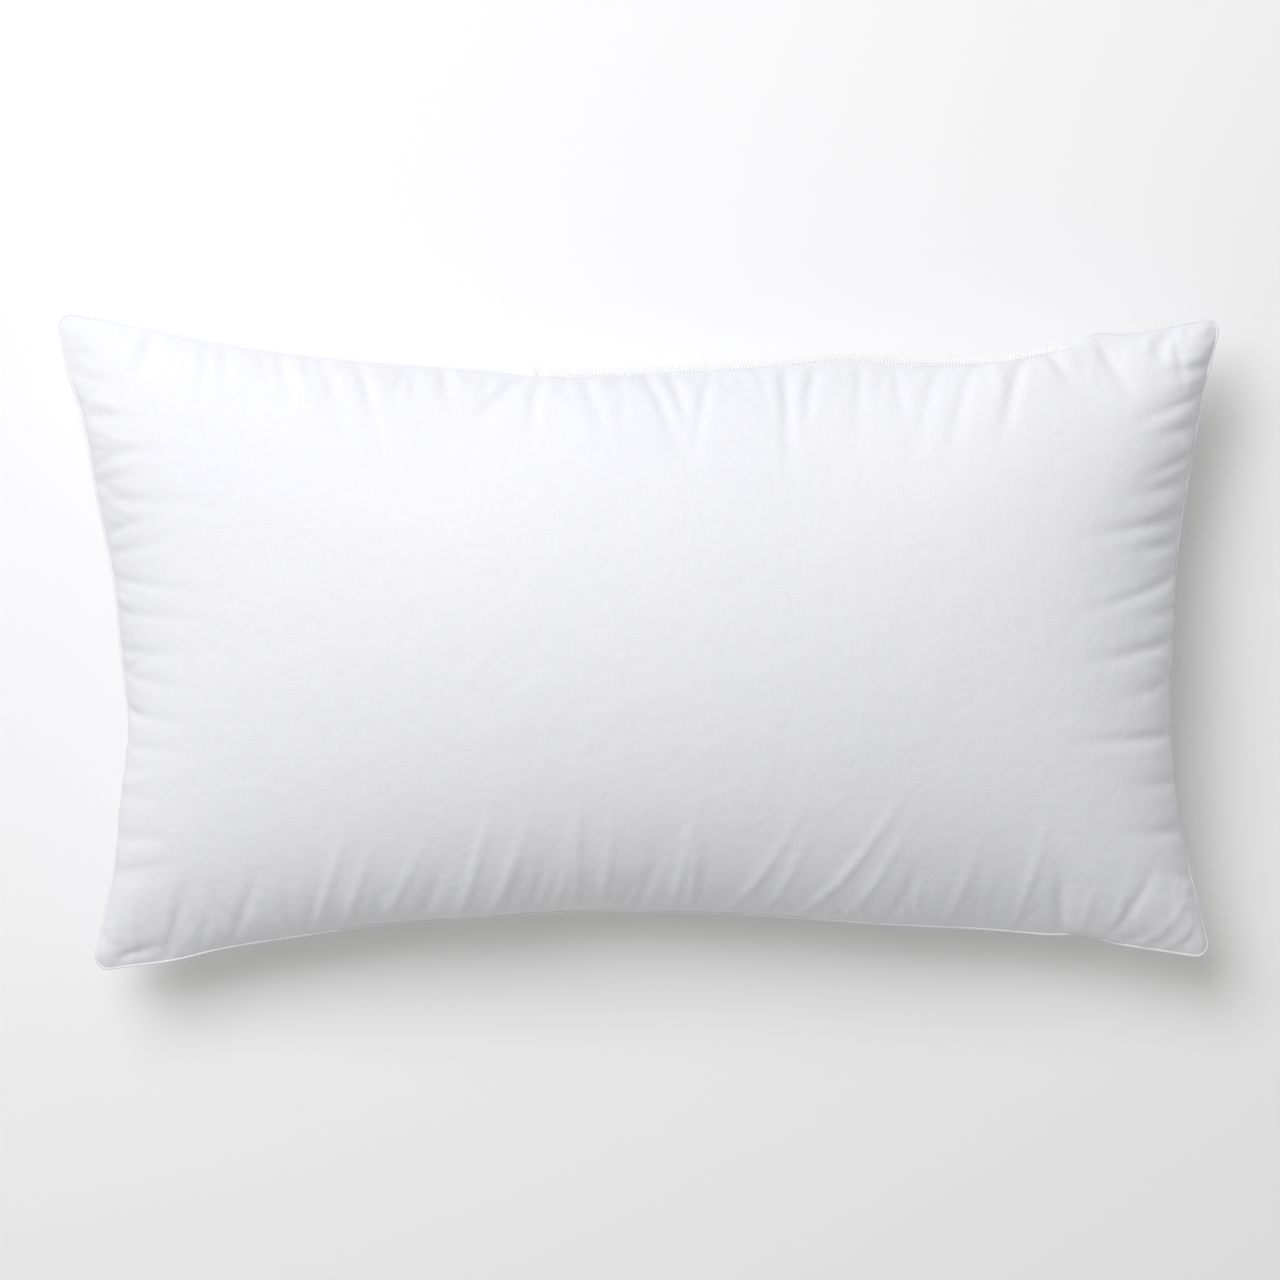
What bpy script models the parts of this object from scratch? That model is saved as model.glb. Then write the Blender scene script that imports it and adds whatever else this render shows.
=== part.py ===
"""A bed pillow, lying flat as it is used: a cotton shell of two panels with a fine corded edge, a loose
filling, and an overlocked closing seam along one long side.

Metres, +Z up. X runs along the pillow's length, Y across it towards the closing seam, and Z = 0 is the floor.
The filling and the panels are plain closed solids of the stuffed shape.
"""

import bmesh
import bpy
import numpy as np

# Overall shape, measured across the folded edges of the two panels
BODY_LENGTH = 0.8705
BODY_WIDTH = 0.4955
THICKNESS = 0.200
SEAM_HEIGHT = 0.086
END_SAG = 0.034
SIDE_SAG = 0.037
CORNER_RADIUS = 0.014

# How full the stuffed shape is: a larger power keeps the middle flat for longer
LENGTH_POWER = 4.0
LENGTH_SOFTNESS = 0.75
WIDTH_POWER = 2.4
WIDTH_SOFTNESS = 0.80
BACK_FULLNESS = 0.102
EDGE_RISE = 0.006
EDGE_REACH = 0.004

# Cloth, thread and the clearance kept between touching pieces
CLOTH = 0.0004
THREAD = 0.0003
CLEARANCE = 0.0003

# The turned-in seam with its fine corded edge
FOLD = 0.0007
ALLOWANCE = 0.009
CORD_RADIUS = 0.0005
PIPING_WALL = 0.00035
PIPING_TAIL = 0.007
TAIL_THICKNESS = 0.0006
SEAM_LINE = 0.0025

# The closing seam: where it starts and ends along X, and how far its plies stand out
CLOSING_START = -0.087
CLOSING_END = 0.321
CLOSING_TAPER = 0.006
CLOSING_RAMP = 0.030
CLOSING_INSET = 0.0065
CLOSING_INSET_FADE = 6.0
TONGUE = 0.0070
OVERLOCK_WIDTH = 0.0055
NEEDLE_SETBACK = 0.0008

# Mesh fineness, and the distance under which two positions count as the same
COLUMNS = 34
ROWS = 22
LEAST_STEP = 0.008
ROUND_SIDES = 10
CORD_SIDES = 6
SNUG = 0.000001

# Derived sizes
FRONT_RISE = THICKNESS - SEAM_HEIGHT
PIPED_FACE = TAIL_THICKNESS / 2 + CLEARANCE
CLOSED_FACE = CLEARANCE / 2
CORD_HOLE_RADIUS = CORD_RADIUS + CLEARANCE
PIPING_RADIUS = CORD_HOLE_RADIUS + PIPING_WALL
PIPING_OUTSET = PIPING_RADIUS + CLEARANCE
FILL_MARGIN = ALLOWANCE + 0.002

COTTON_WHITE = (0.86, 0.86, 0.885)
CORD_WHITE = (0.83, 0.83, 0.84)
THREAD_WHITE = (0.90, 0.90, 0.91)
FILL_WHITE = (0.80, 0.79, 0.76)


def clear_scene():
    """Remove every object that the startup file holds."""
    for obj in list(bpy.data.objects):
        bpy.data.objects.remove(obj, do_unlink=True)


def make_material(name, color, roughness):
    """A plain Principled material."""
    material = bpy.data.materials.new(name)
    material.use_nodes = True
    shader = material.node_tree.nodes["Principled BSDF"]
    shader.inputs["Base Color"].default_value = (*color, 1.0)
    shader.inputs["Roughness"].default_value = roughness
    shader.inputs["Metallic"].default_value = 0.0
    return material


def end_columns():
    """The X positions where the closing seam changes: ramp start, bare edge, tongue start and full tongue."""
    offsets = np.array([-CLOSING_RAMP, -CLOSING_TAPER, 0.0, CLOSING_TAPER])
    return np.concatenate([CLOSING_START + offsets, CLOSING_END - offsets])


def column_values():
    """Grid positions along the length, from -1 to 1, finer near the ends, exact at the closing seam's ends."""
    even = np.sin(np.linspace(-np.pi / 2, np.pi / 2, COLUMNS + 1))
    filling_edge = BODY_LENGTH / 2 - FILL_MARGIN
    exact = np.append(end_columns(), [-filling_edge, filling_edge]) / (BODY_LENGTH / 2)
    return with_exact(even, exact)


def row_values():
    """Grid positions across the width, from -1 to 1, finer near the sides."""
    even = np.sin(np.linspace(-np.pi / 2, np.pi / 2, ROWS + 1))
    filling_edge = 1.0 - FILL_MARGIN / (BODY_WIDTH / 2)
    return with_exact(even, np.array([-filling_edge, filling_edge]))


def with_exact(even, exact):
    """Grid positions `even` with the `exact` ones added, leaving out any that would crowd them."""
    distance = np.abs(even[:, None] - exact[None, :]).min(axis=1)
    crowded = (distance < LEAST_STEP) & (np.abs(even) < 1.0)
    return np.sort(np.concatenate([even[~crowded], exact]))


def closing_dip(x):
    """How far the edge is drawn in along the closing seam, easing in and out over the ramps."""
    into = np.clip((x - (CLOSING_START - CLOSING_RAMP)) / CLOSING_RAMP, 0.0, 1.0)
    out_of = np.clip(((CLOSING_END + CLOSING_RAMP) - x) / CLOSING_RAMP, 0.0, 1.0)
    share = np.minimum(into, out_of)
    return CLOSING_INSET * share * share * (3.0 - 2.0 * share)


def plan(u, v, inset):
    """X and Y of grid positions (u, v) in an outline drawn in by `inset`: sides sag in, corners are round."""
    half_length = BODY_LENGTH / 2 - inset
    half_width = BODY_WIDTH / 2 - inset
    radius = CORNER_RADIUS - inset
    x = u * half_length
    y = v * half_width
    past_x = np.abs(x) - (half_length - radius)
    past_y = np.abs(y) - (half_width - radius)
    in_corner = (past_x > 0) & (past_y > 0)
    reach = np.hypot(past_x, past_y)
    pull = np.where(in_corner, np.maximum(past_x, past_y) / np.maximum(reach, 1e-9), 1.0)
    x = np.where(in_corner, np.sign(x) * (half_length - radius + past_x * pull), x)
    y = np.where(in_corner, np.sign(y) * (half_width - radius + past_y * pull), y)
    along = x / half_length
    across = y / half_width
    dip = closing_dip(u * BODY_LENGTH / 2) * np.clip(v, 0.0, 1.0) ** CLOSING_INSET_FADE
    return x - along * END_SAG * (1.0 - across**2), y - across * SIDE_SAG * (1.0 - along**2) - dip


def fullness(u, v):
    """Share of the full height at grid position (u, v): 1 in the middle, 0 on the edge."""
    along = np.clip(1.0 - np.abs(u) ** LENGTH_POWER, 0.0, 1.0) ** LENGTH_SOFTNESS
    across = np.clip(1.0 - np.abs(v) ** WIDTH_POWER, 0.0, 1.0) ** WIDTH_SOFTNESS
    return along * across


def edge_share(u, v):
    """How much of the rounded edge's rise is reached: 0 on the seam, near 1 a few EDGE_REACH inside it."""
    from_edge = np.minimum((1.0 - np.abs(u)) * BODY_LENGTH / 2, (1.0 - np.abs(v)) * BODY_WIDTH / 2)
    return 1.0 - np.exp(-from_edge / EDGE_REACH)


def bulge(u, v, rise):
    """Height above the seam face, for a panel whose middle rises by `rise`."""
    return EDGE_RISE * edge_share(u, v) + (rise - EDGE_RISE) * fullness(u, v)


def grid_faces(columns, rows, first, flip):
    """Triangles of a grid of points numbered row by row from `first`, every cell split the same way."""
    index = first + np.arange(columns * rows).reshape(columns, rows)
    quads = np.stack([index[:-1, :-1], index[1:, :-1], index[1:, 1:], index[:-1, 1:]], axis=-1).reshape(-1, 4)
    triangles = np.concatenate([quads[:, [0, 1, 2]], quads[:, [0, 2, 3]]])
    return (triangles[:, ::-1] if flip else triangles).tolist()


def rim_indices(columns, rows):
    """Grid numbers of the outline, once round, starting at the corner (-1, -1) and going along X first."""
    index = np.arange(columns * rows).reshape(columns, rows)
    return np.concatenate([index[:-1, 0], index[-1, :-1], index[:0:-1, -1], index[0, :0:-1]])


def band_faces(first_loop, second_loop, closed):
    """Quads between two loops of point numbers."""
    count = len(first_loop)
    here = np.arange(count if closed else count - 1)
    after = (here + 1) % count
    return np.stack([first_loop[here], first_loop[after], second_loop[after], second_loop[here]], axis=-1)


def make_node(name, points, faces, material):
    """One closed object from its points and faces, with matching points joined."""
    shape = bmesh.new()
    verts = [shape.verts.new(point) for point in points.tolist()]
    for face in faces:
        shape.faces.new([verts[i] for i in face])
    bmesh.ops.remove_doubles(shape, verts=shape.verts, dist=SNUG)
    bmesh.ops.dissolve_degenerate(shape, edges=shape.edges, dist=SNUG)
    bmesh.ops.triangulate(shape, faces=shape.faces)
    bmesh.ops.recalc_face_normals(shape, faces=shape.faces)
    if shape.calc_volume(signed=True) < 0:
        bmesh.ops.reverse_faces(shape, faces=shape.faces)
    mesh = bpy.data.meshes.new(name)
    shape.to_mesh(mesh)
    shape.free()
    mesh.shade_smooth()
    mesh.materials.append(material)
    obj = bpy.data.objects.new(name, mesh)
    bpy.context.scene.collection.objects.link(obj)
    return obj


def inner_height(u, v, rise, floor_depth):
    """Height of a panel's inner face from the seam plane, flattened at the floor."""
    height = PIPED_FACE + bulge(u, v, rise - PIPED_FACE) + CLOTH * (1.0 - 2.0 * edge_share(u, v))
    return np.minimum(height, floor_depth - CLOTH)


def edge_state(u, v):
    """Which rim points are bare on the inner side, bare on the outer side, or carry the closing tongue."""
    x = u * BODY_LENGTH / 2
    on_side = v * BODY_WIDTH / 2 > BODY_WIDTH / 2 - SNUG
    tongue = on_side & (x > CLOSING_START + SNUG) & (x < CLOSING_END - SNUG)
    outer = on_side & (np.minimum(np.abs(x - CLOSING_START), np.abs(x - CLOSING_END)) < SNUG)
    before = np.abs(x - (CLOSING_START - CLOSING_TAPER))
    beyond = np.abs(x - (CLOSING_END + CLOSING_TAPER))
    inner = on_side & (np.minimum(before, beyond) < SNUG)
    return inner, outer, tongue


def panel(name, rise, floor_depth, side, material):
    """A cloth panel: outer skin, inner skin, turned-in allowance, and the tongue along the closing seam.

    `side` is 1 for the front panel, -1 for the back one. Heights are from the seam plane, outwards from it.
    """
    u, v = np.meshgrid(column_values(), row_values(), indexing="ij")
    columns, rows = u.shape
    rim = rim_indices(columns, rows)
    rim_u = u.ravel()[rim]
    rim_v = v.ravel()[rim]
    bare_inner, bare_outer, tongue = edge_state(rim_u, rim_v)
    hook = ~(bare_inner | bare_outer | tongue)
    face = np.where(tongue, CLOSED_FACE, PIPED_FACE)

    outer_x, outer_y = plan(u, v, 0.0)
    outer_z = np.minimum(PIPED_FACE + bulge(u, v, rise - PIPED_FACE), floor_depth).ravel()
    outer_z[rim] = face + np.where(tongue, CLOTH, 0.0)
    outer = np.stack([outer_x.ravel(), outer_y.ravel(), outer_z], axis=-1)

    inner_x, inner_y = plan(u, v, FOLD)
    inner_z = inner_height(u, v, rise, floor_depth).ravel()
    inner_z[rim] = face + np.where(hook, CLOTH, 0.0)
    inner = np.stack([inner_x.ravel(), inner_y.ravel(), inner_z], axis=-1)

    flap_inset = np.select([hook, bare_inner, bare_outer], [ALLOWANCE, FOLD, 0.0], -TONGUE)
    flap_x, flap_y = plan(rim_u, rim_v, flap_inset)
    near_z = face + np.where(tongue, CLOTH, 0.0)
    far_z = face + np.where(hook, CLOTH, 0.0)
    near = np.stack([flap_x, flap_y, near_z], axis=-1)
    far = np.stack([flap_x, flap_y, far_z], axis=-1)

    total = columns * rows
    points = np.concatenate([outer, inner, near, far])
    near_loop = 2 * total + np.arange(len(rim))
    far_loop = near_loop + len(rim)
    faces = grid_faces(columns, rows, 0, False) + grid_faces(columns, rows, total, True)
    for loop, following in ((rim, near_loop), (near_loop, far_loop), (far_loop, total + rim)):
        faces += band_faces(loop, following, True).tolist()
    points[:, 2] = SEAM_HEIGHT + side * points[:, 2]
    return make_node(name, points, faces, material)


def filling(material):
    """The loose filling as one solid, just inside both panels and clear of the turned-in allowances."""
    u_values = column_values()
    v_values = row_values()
    u_values = u_values[np.abs(u_values) < 1.0 - (FILL_MARGIN - SNUG) / (BODY_LENGTH / 2)]
    v_values = v_values[np.abs(v_values) < 1.0 - (FILL_MARGIN - SNUG) / (BODY_WIDTH / 2)]
    u, v = np.meshgrid(u_values, v_values, indexing="ij")
    columns, rows = u.shape
    x, y = plan(u, v, FOLD + CLEARANCE)
    front = inner_height(u, v, FRONT_RISE, FRONT_RISE) - CLEARANCE
    back = inner_height(u, v, BACK_FULLNESS, SEAM_HEIGHT) - CLEARANCE
    rim = rim_indices(columns, rows)
    total = columns * rows
    top = np.stack([x.ravel(), y.ravel(), SEAM_HEIGHT + front.ravel()], axis=-1)
    bottom = np.stack([x.ravel(), y.ravel(), SEAM_HEIGHT - back.ravel()], axis=-1)
    faces = grid_faces(columns, rows, 0, False) + grid_faces(columns, rows, total, True)
    faces += band_faces(rim, total + rim, True).tolist()
    return make_node("loose_filling", np.concatenate([top, bottom]), faces, material)


def corded_run():
    """Grid positions along the turned-in seam, from one end of the closing seam round to the other."""
    u, v = np.meshgrid(column_values(), row_values(), indexing="ij")
    rim = rim_indices(*u.shape)
    rim_u = u.ravel()[rim]
    rim_v = v.ravel()[rim]
    _, bare_outer, tongue = edge_state(rim_u, rim_v)
    start = int(np.flatnonzero(bare_outer & (rim_u < 0))[0]) + 1
    order = (start + np.arange(len(rim))) % len(rim)
    kept = [i for i in order if not (bare_outer[i] or tongue[i])]
    return rim_u[kept], rim_v[kept]


def closing_run():
    """Grid positions along the closing seam, where its tongue is full."""
    u = column_values()
    x = u * BODY_LENGTH / 2
    kept = u[(x > CLOSING_START + SNUG) & (x < CLOSING_END - SNUG)]
    return kept, np.ones(len(kept))


def swept(name, run, outline, tunnel, material):
    """A solid that follows the edge: `outline` lists the (inset, height) corners of its profile, in order.

    `tunnel` lists those of a hole that runs through it, open at both ends, or is empty.
    """
    run_u, run_v = run
    count = len(run_u)
    points = []
    faces = []
    for profile in (outline, tunnel):
        first = len(points) * count
        for inset, height in profile:
            x, y = plan(run_u, run_v, inset)
            points.append(np.stack([x, y, np.full(count, SEAM_HEIGHT + height)], axis=-1))
        for corner in range(len(profile)):
            here = first + corner * count + np.arange(count)
            after = first + (corner + 1) % len(profile) * count + np.arange(count)
            faces += band_faces(here, after, False).tolist()
    for end in (0, count - 1):
        outside = end + count * np.arange(len(outline))
        inside = end + count * (len(outline) + np.arange(len(tunnel)))
        faces += ring_cap(outside, inside) if tunnel else [outside.tolist()]
    return make_node(name, np.concatenate(points), faces, material)


def ring_cap(outside, inside):
    """Faces that close the end of a tube: a strip between matching corners, then the tail's own corners."""
    sides = len(inside)
    strip = band_faces(outside[:sides], inside, False).tolist()
    tail = outside[sides:].tolist()
    return [*strip, [inside[-1], inside[0], outside[0], *tail[::-1], outside[sides - 1]]]


def circle(centre, radius, sides, start, turn):
    """(inset, height) corners of an arc round `centre`, from angle `start` on through `turn`."""
    angles = start + turn * np.linspace(0.0, 1.0, sides)
    return [(centre + radius * np.cos(angle), radius * np.sin(angle)) for angle in angles]


def edge_piping(material):
    """The folded strip of the corded edge: a tube round the cord, with a tail between the two allowances."""
    half_tail = TAIL_THICKNESS / 2
    opening = np.arcsin(half_tail / PIPING_RADIUS)
    turn = 2 * np.pi - 2 * opening
    outside = circle(-PIPING_OUTSET, PIPING_RADIUS, ROUND_SIDES, opening, turn)
    inside = circle(-PIPING_OUTSET, CORD_HOLE_RADIUS, ROUND_SIDES, opening, turn)
    tail = [(PIPING_TAIL, -half_tail), (PIPING_TAIL, half_tail)]
    return swept("edge_piping_strip", corded_run(), outside + tail, inside, material)


def edge_cord(material):
    """The fine cord inside the piping strip."""
    full_turn = 2 * np.pi * (1 - 1 / CORD_SIDES)
    profile = circle(-PIPING_OUTSET, CORD_RADIUS, CORD_SIDES, 0.0, full_turn)
    return swept("edge_piping_cord", corded_run(), profile, [], material)


def bar(first_inset, last_inset, low, high):
    """A rectangular profile between two insets and two heights."""
    return [(first_inset, low), (last_inset, low), (last_inset, high), (first_inset, high)]


def seam_threads(material):
    """Needle thread on the front allowance and bobbin thread on the back one, just inside the corded edge."""
    low = PIPED_FACE + CLOTH + CLEARANCE
    high = low + THREAD
    edge = SEAM_LINE + THREAD
    swept("edge_seam_needle_thread", corded_run(), bar(SEAM_LINE, edge, low, high), [], material)
    swept("edge_seam_bobbin_thread", corded_run(), bar(SEAM_LINE, edge, -high, -low), [], material)


def overlock_threads(material):
    """The closing seam's threads: a looper layer over each face of the tongue, and the needle thread line."""
    low = CLOSED_FACE + CLOTH + CLEARANCE
    high = low + THREAD
    lip = CLEARANCE / 2
    wrap = -TONGUE - CLEARANCE
    tip = wrap - THREAD
    inner_edge = tip + OVERLOCK_WIDTH
    for name, side in (("closing_upper_looper_thread", 1.0), ("closing_lower_looper_thread", -1.0)):
        profile = [(tip, lip), (wrap, lip), (wrap, low), (inner_edge, low), (inner_edge, high), (tip, high)]
        profile = [(inset, side * height) for inset, height in profile]
        swept(name, closing_run(), profile, [], material)
    start = inner_edge + NEEDLE_SETBACK
    swept("closing_needle_thread", closing_run(), bar(start, start + THREAD, low, high), [], material)


def build_pillow():
    """Every piece of the pillow."""
    cotton = make_material("white_cotton_percale", COTTON_WHITE, 0.80)
    piping = make_material("white_cotton_piping", COTTON_WHITE, 0.80)
    cord = make_material("white_cotton_cord", CORD_WHITE, 0.85)
    thread = make_material("white_sewing_thread", THREAD_WHITE, 0.60)
    filling_fibre = make_material("white_soft_filling", FILL_WHITE, 0.90)
    panel("front_panel", FRONT_RISE, FRONT_RISE, 1.0, cotton)
    panel("back_panel", BACK_FULLNESS, SEAM_HEIGHT, -1.0, cotton)
    filling(filling_fibre)
    edge_piping(piping)
    edge_cord(cord)
    seam_threads(thread)
    overlock_threads(thread)


clear_scene()
build_pillow()
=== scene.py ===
"""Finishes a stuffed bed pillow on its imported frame: sewn and gathered cloth panels, a fine corded edge,
an overlocked closing seam, the pieces inside the shell, and a plain studio stage.

Metres throughout. X runs along the length, Y across it towards the closing seam, and Z = 0 is the floor.
"""

import functools
import math

import bpy
import numpy as np
from bpy.props import FloatProperty, FloatVectorProperty, PointerProperty
from mathutils import Matrix, Vector


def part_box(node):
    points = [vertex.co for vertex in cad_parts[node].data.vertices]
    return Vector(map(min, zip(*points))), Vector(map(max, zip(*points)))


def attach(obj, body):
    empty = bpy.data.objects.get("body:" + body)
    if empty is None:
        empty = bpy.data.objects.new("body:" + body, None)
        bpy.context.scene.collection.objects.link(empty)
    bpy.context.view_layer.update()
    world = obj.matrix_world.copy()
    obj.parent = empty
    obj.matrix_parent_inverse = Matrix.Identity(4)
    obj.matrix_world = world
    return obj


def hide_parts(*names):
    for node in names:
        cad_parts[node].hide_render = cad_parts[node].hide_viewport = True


bl_info = {
    "name": "Stuffed Bed Pillow",
    "version": (1, 0, 0),
    "blender": (4, 5, 0),
    "location": "3D View > Sidebar > Pillow",
    "description": "Sews, stuffs and finishes a bed pillow on its packed frame",
    "category": "Object",
}

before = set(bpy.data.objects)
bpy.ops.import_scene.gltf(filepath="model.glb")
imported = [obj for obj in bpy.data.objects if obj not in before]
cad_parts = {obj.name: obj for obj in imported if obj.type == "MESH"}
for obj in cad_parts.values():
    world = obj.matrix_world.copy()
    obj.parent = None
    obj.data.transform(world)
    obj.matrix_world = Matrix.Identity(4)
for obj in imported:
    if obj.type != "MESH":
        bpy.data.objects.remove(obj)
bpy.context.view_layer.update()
PANEL_LOW, PANEL_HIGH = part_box("front_panel")
PIPING_LOW, PIPING_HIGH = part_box("edge_piping_strip")
CLOSING_LOW, CLOSING_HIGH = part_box("closing_upper_looper_thread")
SEAM_HEIGHT = (PIPING_LOW[2] + PIPING_HIGH[2]) / 2
CROWN_HEIGHT = PANEL_HIGH[2]

# How much the rounded corners take off each end and each side, and half the seam's rectangle without them
CORNER_LOSS_X = 0.0039
CORNER_LOSS_Y = 0.0028
HALF_LENGTH = PANEL_HIGH[0] + CORNER_LOSS_X
HALF_WIDTH = PANEL_HIGH[1] + CORNER_LOSS_Y

# Where each side's cloth is eased into the seam, along that side from its middle, and how strongly
TOP_GATHERS = (
    (-0.375, 0.5), (-0.31, 0.4), (-0.245, 0.5), (-0.163, 0.9), (-0.083, 0.8), (-0.002, 0.9), (0.040, 1.1),
    (0.104, 1.2), (0.150, 0.5), (0.194, 0.9), (0.262, 1.0), (0.318, 0.8), (0.370, 1.1), (0.400, 0.9),
)
BOTTOM_GATHERS = (
    (-0.405, 0.9), (-0.350, 0.5), (-0.290, 0.9), (-0.220, 0.7), (-0.150, 0.9), (-0.062, 0.7), (0.010, 0.8),
    (0.097, 0.9), (0.170, 0.7), (0.233, 0.9), (0.290, 0.8), (0.345, 1.0), (0.385, 1.1),
)
LEFT_GATHERS = (
    (-0.195, 0.7), (-0.145, 0.6), (-0.090, 0.8), (-0.032, 0.9), (0.0, 0.7), (0.040, 0.9), (0.064, 0.6),
    (0.103, 0.9), (0.135, 0.9), (0.195, 0.9),
)
RIGHT_GATHERS = (
    (-0.200, 0.9), (-0.150, 0.7), (-0.080, 1.0), (-0.016, 1.0), (0.032, 1.0), (0.095, 1.1), (0.166, 1.0),
    (0.200, 1.1),
)

# How far each corner is drawn from a true rectangle, as (X, Y): low left, high left, low right, high right
CORNER_DRAWS = ((0.002, -0.005), (-0.011, 0.006), (0.005, -0.003), (0.002, 0.000))

# Where each side of the seam wavers outwards: place along the side from its middle, reach, and distance
TOP_WAVERS = (
    (-0.400, 0.070, 0.003), (0.110, 0.110, 0.006), (0.145, 0.035, 0.003), (0.262, 0.040, -0.003),
    (0.338, 0.016, 0.006),
)
BOTTOM_WAVERS = (
    (-0.375, 0.030, 0.003), (-0.180, 0.100, -0.002), (0.170, 0.130, 0.0045), (0.335, 0.020, -0.004),
)
LEFT_WAVERS = (
    (0.205, 0.020, 0.003), (0.110, 0.050, 0.003), (-0.055, 0.035, -0.003), (-0.085, 0.035, -0.006),
    (-0.150, 0.040, -0.003),
)
RIGHT_WAVERS = ((0.120, 0.060, 0.002), (-0.110, 0.060, -0.004))

# How far before and past the closing seam its side starts to be drawn in
CLOSING_RAMP_IN = 0.040
CLOSING_RAMP_OUT = 0.034

# Slow sines that lift and drop the seam: height, waves along u and along v, and phase
LENGTH_WAVES = ((0.0022, 9.0, 1.2, 0.0), (0.0014, 17.0, 1.5, 2.0))
WIDTH_WAVES = ((0.0020, 1.9, 6.0, 0.0), (0.0012, 0.0, 12.0, 0.7))
CORNER_DROOP = 0.004

# Pleats of the front panel that start at a seam: place along the side, slant, length, half width, depth.
# A negative depth is a ridge.
TOP_PLEATS = (
    (-0.360, -0.30, 0.035, 0.009, 0.0055), (-0.311, 0.10, 0.040, 0.006, 0.0022),
    (-0.271, 0.25, 0.055, 0.006, 0.0025), (-0.240, 0.30, 0.085, 0.008, 0.0020),
    (-0.212, 0.25, 0.085, 0.006, 0.0035), (-0.169, 0.05, 0.050, 0.006, 0.0018),
    (-0.147, 0.10, 0.060, 0.007, 0.0020), (-0.112, -0.10, 0.050, 0.007, 0.0018),
    (-0.082, -0.55, 0.060, 0.007, 0.0075), (-0.074, -0.08, 0.080, 0.006, 0.0040),
    (-0.045, 0.25, 0.080, 0.007, 0.0022), (-0.014, 0.05, 0.075, 0.006, 0.0022),
    (0.003, 0.32, 0.105, 0.007, 0.0035), (0.022, 0.20, 0.070, 0.006, 0.0045),
    (0.052, -0.15, 0.095, 0.006, 0.0032), (0.085, 0.20, 0.060, 0.006, 0.0022),
    (0.108, 0.00, 0.100, 0.007, 0.0045), (0.129, -0.15, 0.075, 0.006, 0.0035),
    (0.165, -0.10, 0.085, 0.008, 0.0020), (0.190, 0.05, 0.080, 0.007, 0.0020),
    (0.225, -0.30, 0.100, 0.008, 0.0026), (0.252, -0.28, 0.090, 0.007, 0.0036),
    (0.288, -0.30, 0.085, 0.007, 0.0048), (0.300, 0.45, 0.040, 0.006, 0.0040),
    (0.340, 0.40, 0.050, 0.007, 0.0042), (0.385, 0.10, 0.035, 0.007, 0.0018),
)
BOTTOM_PLEATS = (
    (-0.380, 0.30, 0.050, 0.008, 0.0030), (-0.330, 0.35, 0.060, 0.007, 0.0025),
    (-0.268, 0.30, 0.096, 0.0048, -0.0026), (-0.244, 0.30, 0.090, 0.0048, -0.0024),
    (-0.218, 0.40, 0.096, 0.0048, -0.0022), (-0.185, 0.30, 0.070, 0.007, 0.0022),
    (-0.156, 0.25, 0.126, 0.0048, -0.0031), (-0.134, 0.30, 0.108, 0.0048, -0.0029),
    (-0.100, 0.20, 0.080, 0.007, 0.0024), (-0.078, 0.15, 0.108, 0.0048, -0.0024),
    (-0.062, 0.05, 0.132, 0.0040, -0.0031), (-0.044, 0.10, 0.114, 0.0048, -0.0027),
    (-0.016, 0.20, 0.085, 0.007, 0.0024), (0.010, 0.15, 0.126, 0.0048, -0.0026),
    (0.026, 0.05, 0.108, 0.0048, -0.0031), (0.048, 0.45, 0.120, 0.0048, -0.0026),
    (0.082, 0.30, 0.096, 0.0056, -0.0022), (0.104, 0.55, 0.132, 0.0048, -0.0036),
    (0.142, 0.40, 0.102, 0.0048, -0.0024), (0.180, 0.25, 0.070, 0.008, 0.0020),
    (0.225, 0.20, 0.084, 0.0064, -0.0019), (0.278, 0.15, 0.102, 0.0048, -0.0029),
    (0.318, -0.10, 0.060, 0.008, 0.0045), (0.350, 0.45, 0.065, 0.006, 0.0032),
    (0.378, 0.70, 0.045, 0.0048, -0.0016), (0.398, 0.80, 0.040, 0.0048, -0.0012),
)
LEFT_PLEATS = (
    (0.205, -0.20, 0.050, 0.006, 0.0011), (0.174, 0.00, 0.050, 0.006, 0.0018),
    (0.147, 0.00, 0.090, 0.006, 0.0012), (0.126, 0.10, 0.050, 0.006, 0.0017),
    (0.112, 0.00, 0.120, 0.007, 0.0013), (0.086, 0.25, 0.075, 0.006, 0.0016),
    (0.070, 0.20, 0.080, 0.006, 0.0015), (0.054, -0.05, 0.095, 0.006, 0.0017),
    (0.030, 0.00, 0.110, 0.006, 0.0012), (0.000, 0.05, 0.080, 0.006, 0.0017),
    (-0.016, -0.05, 0.080, 0.006, 0.0015), (-0.044, 0.00, 0.070, 0.006, 0.0017),
    (-0.071, 0.05, 0.075, 0.007, 0.0015), (-0.105, -0.05, 0.060, 0.008, 0.0011),
    (-0.140, 0.10, 0.060, 0.008, 0.0012), (-0.175, 0.15, 0.060, 0.007, 0.0013),
)
RIGHT_PLEATS = (
    (0.214, -0.20, 0.050, 0.008, 0.0034), (0.194, -0.32, 0.075, 0.007, 0.0042),
    (0.170, -0.15, 0.055, 0.007, 0.0032), (0.150, -0.30, 0.070, 0.007, 0.0034),
    (0.128, -0.15, 0.075, 0.007, 0.0042), (0.100, -0.10, 0.105, 0.007, 0.0052),
    (0.081, -0.05, 0.070, 0.006, 0.0042), (0.056, -0.20, 0.115, 0.006, 0.0036),
    (0.030, -0.05, 0.070, 0.007, 0.0028), (0.008, -0.10, 0.110, 0.007, 0.0044),
    (-0.022, -0.10, 0.080, 0.008, 0.0030), (-0.068, 0.05, 0.120, 0.007, 0.0044),
    (-0.105, 0.10, 0.070, 0.008, 0.0028), (-0.145, 0.10, 0.070, 0.008, 0.0034),
    (-0.185, 0.30, 0.050, 0.008, 0.0014),
)

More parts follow.
